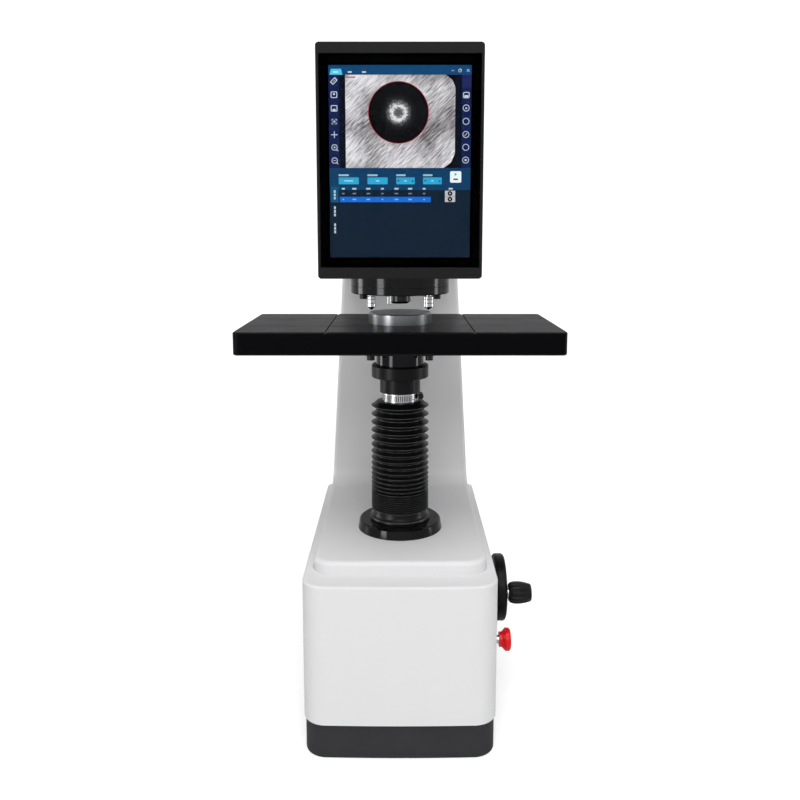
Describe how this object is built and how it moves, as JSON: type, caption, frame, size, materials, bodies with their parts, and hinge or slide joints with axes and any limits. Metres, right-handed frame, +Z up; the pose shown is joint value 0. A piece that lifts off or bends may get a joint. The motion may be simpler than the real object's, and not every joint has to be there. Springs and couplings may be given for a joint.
{
  "type": "hardness tester",
  "caption": "Bench ball-indentation hardness tester: C-frame, touch screen on the head, indexing turret, grooved test table on a bellows-covered elevating screw.",
  "frame": {"origin": "on the floor under the load axis, which is the elevating screw's axis", "axes": "+Z up along the load axis, +X to the user's right, +Y away from the user"},
  "size_m": [0.4, 0.501, 0.8413],
  "materials": {
    "white_paint": "satin white coating",
    "base_black": "fine textured black coating",
    "table_black": "black oxide, ground",
    "gloss_black": "glossy black",
    "black_oxide": "black oxide",
    "steel": "ground steel",
    "bright_steel": "polished",
    "alloy": "machined",
    "bronze": "machined",
    "iron": "as cast",
    "rubber": "matt",
    "black_plastic": "fine grain",
    "gloss_plastic": "moulded",
    "red_plastic": "moulded",
    "board_green": "solder mask",
    "screen_face": "lit screen",
    "glass": "clear"
  },
  "bodies": {
    "frame": {"base_plate": "steel", "base_plinth": "base_black", "base_housing": "white_paint", "frame_casting": "white_paint", "rear_cover": "white_paint", "cover_screws": "steel", "power_inlet": "black_plastic", "power_supply": "steel", "controller_board": "board_green", "frame_cap_screws": "black_oxide", "screw_flange": "gloss_black", "guide_bush": "bronze", "guide_key": "steel", "gear_case": "iron", "thrust_bearing": "steel", "shaft_bush": "bronze", "wheel_bearing": "gloss_black", "bellows": "rubber", "estop_collar": "bright_steel", "turret_housing": "gloss_black", "turret_motor": "black_oxide", "load_bracket": "alloy", "load_motor": "black_oxide", "load_belt": "rubber", "screen_housing": "black_plastic", "touch_glass": "glass", "display_panel": "screen_face", "screen_back": "alloy", "screen_bracket": "steel"},
    "lift": {"elevating_screw": "gloss_black", "hose_clamp": "bright_steel", "clamp_screw": "black_oxide", "locking_ring": "gloss_black", "table_mount": "gloss_black", "mount_screws": "black_oxide", "test_table": "table_black"},
    "anvil": {"flat_anvil": "steel"},
    "nut": {"lift_nut": "bronze"},
    "wheel": {"pinion_shaft": "steel", "handwheel": "gloss_plastic", "crank_pin": "bright_steel"},
    "knob": {"crank_knob": "black_plastic"},
    "stop_stem": {"estop_stem": "steel"},
    "stop_head": {"estop_head": "red_plastic"},
    "turret": {"turret_disc": "gloss_black", "turret_screws": "black_oxide", "turret_pin": "bright_steel", "objective": "black_oxide", "objective_lens": "glass", "camera_module": "black_oxide", "left_spring": "steel", "right_spring": "steel"},
    "left_ball": {"left_indenter": "bright_steel"},
    "right_ball": {"right_indenter": "bright_steel"},
    "spindle": {"loading_spindle": "steel", "load_cell": "steel", "load_screw": "steel"},
    "load_nut": {"ball_nut": "alloy"},
    "load_pulley": {"motor_pulley": "alloy"},
    "rocker": {"power_rocker": "black_plastic"}
  },
  "joints": [
    {"name": "table_lift", "type": "slide", "parent": "frame", "child": "lift", "axis": [0, 0, 1], "range_m": [-0.08, 0], "deforming": ["bellows"]},
    {"name": "anvil_lift_out", "type": "slide", "parent": "lift", "child": "anvil", "axis": [0, 0, 1], "range_m": [0, 0.008]},
    {"name": "nut_spin", "type": "hinge", "parent": "frame", "child": "nut", "pos_m": [0, 0, 0.17], "axis": [0, 0, 1], "range_deg": [0, 5761]},
    {"name": "handwheel_spin", "type": "hinge", "parent": "frame", "child": "wheel", "pos_m": [0.1, 0, 0.15], "axis": [1, 0, 0], "range_deg": [-11521, 0]},
    {"name": "crank_knob_spin", "type": "hinge", "parent": "wheel", "child": "knob", "pos_m": [0.155, -0.03394, 0.15721], "axis": [1, 0, 0], "continuous": true},
    {"name": "estop_press", "type": "slide", "parent": "frame", "child": "stop_stem", "axis": [1, 0, 0], "range_m": [-0.005, 0], "stiffness_N_per_m": 300, "springref_m": 0.006},
    {"name": "estop_twist", "type": "hinge", "parent": "stop_stem", "child": "stop_head", "pos_m": [0.135, -0.07, 0.11], "axis": [1, 0, 0], "range_deg": [0, 45], "stiffness_Nm_per_rad": 0.05, "springref_deg": -5.73},
    {"name": "turret_index", "type": "hinge", "parent": "frame", "child": "turret", "pos_m": [0, -0.0406, 0.565], "axis": [0, 0, 1], "range_deg": [-120, 120]},
    {"name": "left_indenter_plunge", "type": "slide", "parent": "turret", "child": "left_ball", "axis": [0, 0, 1], "range_m": [-0.01, 0], "stiffness_N_per_m": 500, "springref_m": 0.008, "deforming": ["left_spring"]},
    {"name": "right_indenter_plunge", "type": "slide", "parent": "turret", "child": "right_ball", "axis": [0, 0, 1], "range_m": [-0.01, 0], "stiffness_N_per_m": 500, "springref_m": 0.008, "deforming": ["right_spring"]},
    {"name": "spindle_slide", "type": "slide", "parent": "frame", "child": "spindle", "axis": [0, 0, 1], "range_m": [-0.02, 0]},
    {"name": "ball_nut_spin", "type": "hinge", "parent": "frame", "child": "load_nut", "pos_m": [0, 0, 0.76], "axis": [0, 0, 1], "range_deg": [0, 1801]},
    {"name": "motor_pulley_spin", "type": "hinge", "parent": "frame", "child": "load_pulley", "pos_m": [0, 0.095, 0.76], "axis": [0, 0, 1], "range_deg": [0, 3601]},
    {"name": "rocker_switch", "type": "hinge", "parent": "frame", "child": "rocker", "pos_m": [0.024, 0.334, 0.104], "axis": [1, 0, 0], "range_deg": [0, 14]}
  ],
  "couplings": [
    {"joint": "nut_spin", "follows": "table_lift", "rad_per_m": -1256.6},
    {"joint": "handwheel_spin", "follows": "table_lift", "rad_per_m": 2513.3},
    {"joint": "ball_nut_spin", "follows": "spindle_slide", "rad_per_m": -1570.8},
    {"joint": "motor_pulley_spin", "follows": "spindle_slide", "rad_per_m": -3141.6}
  ]
}
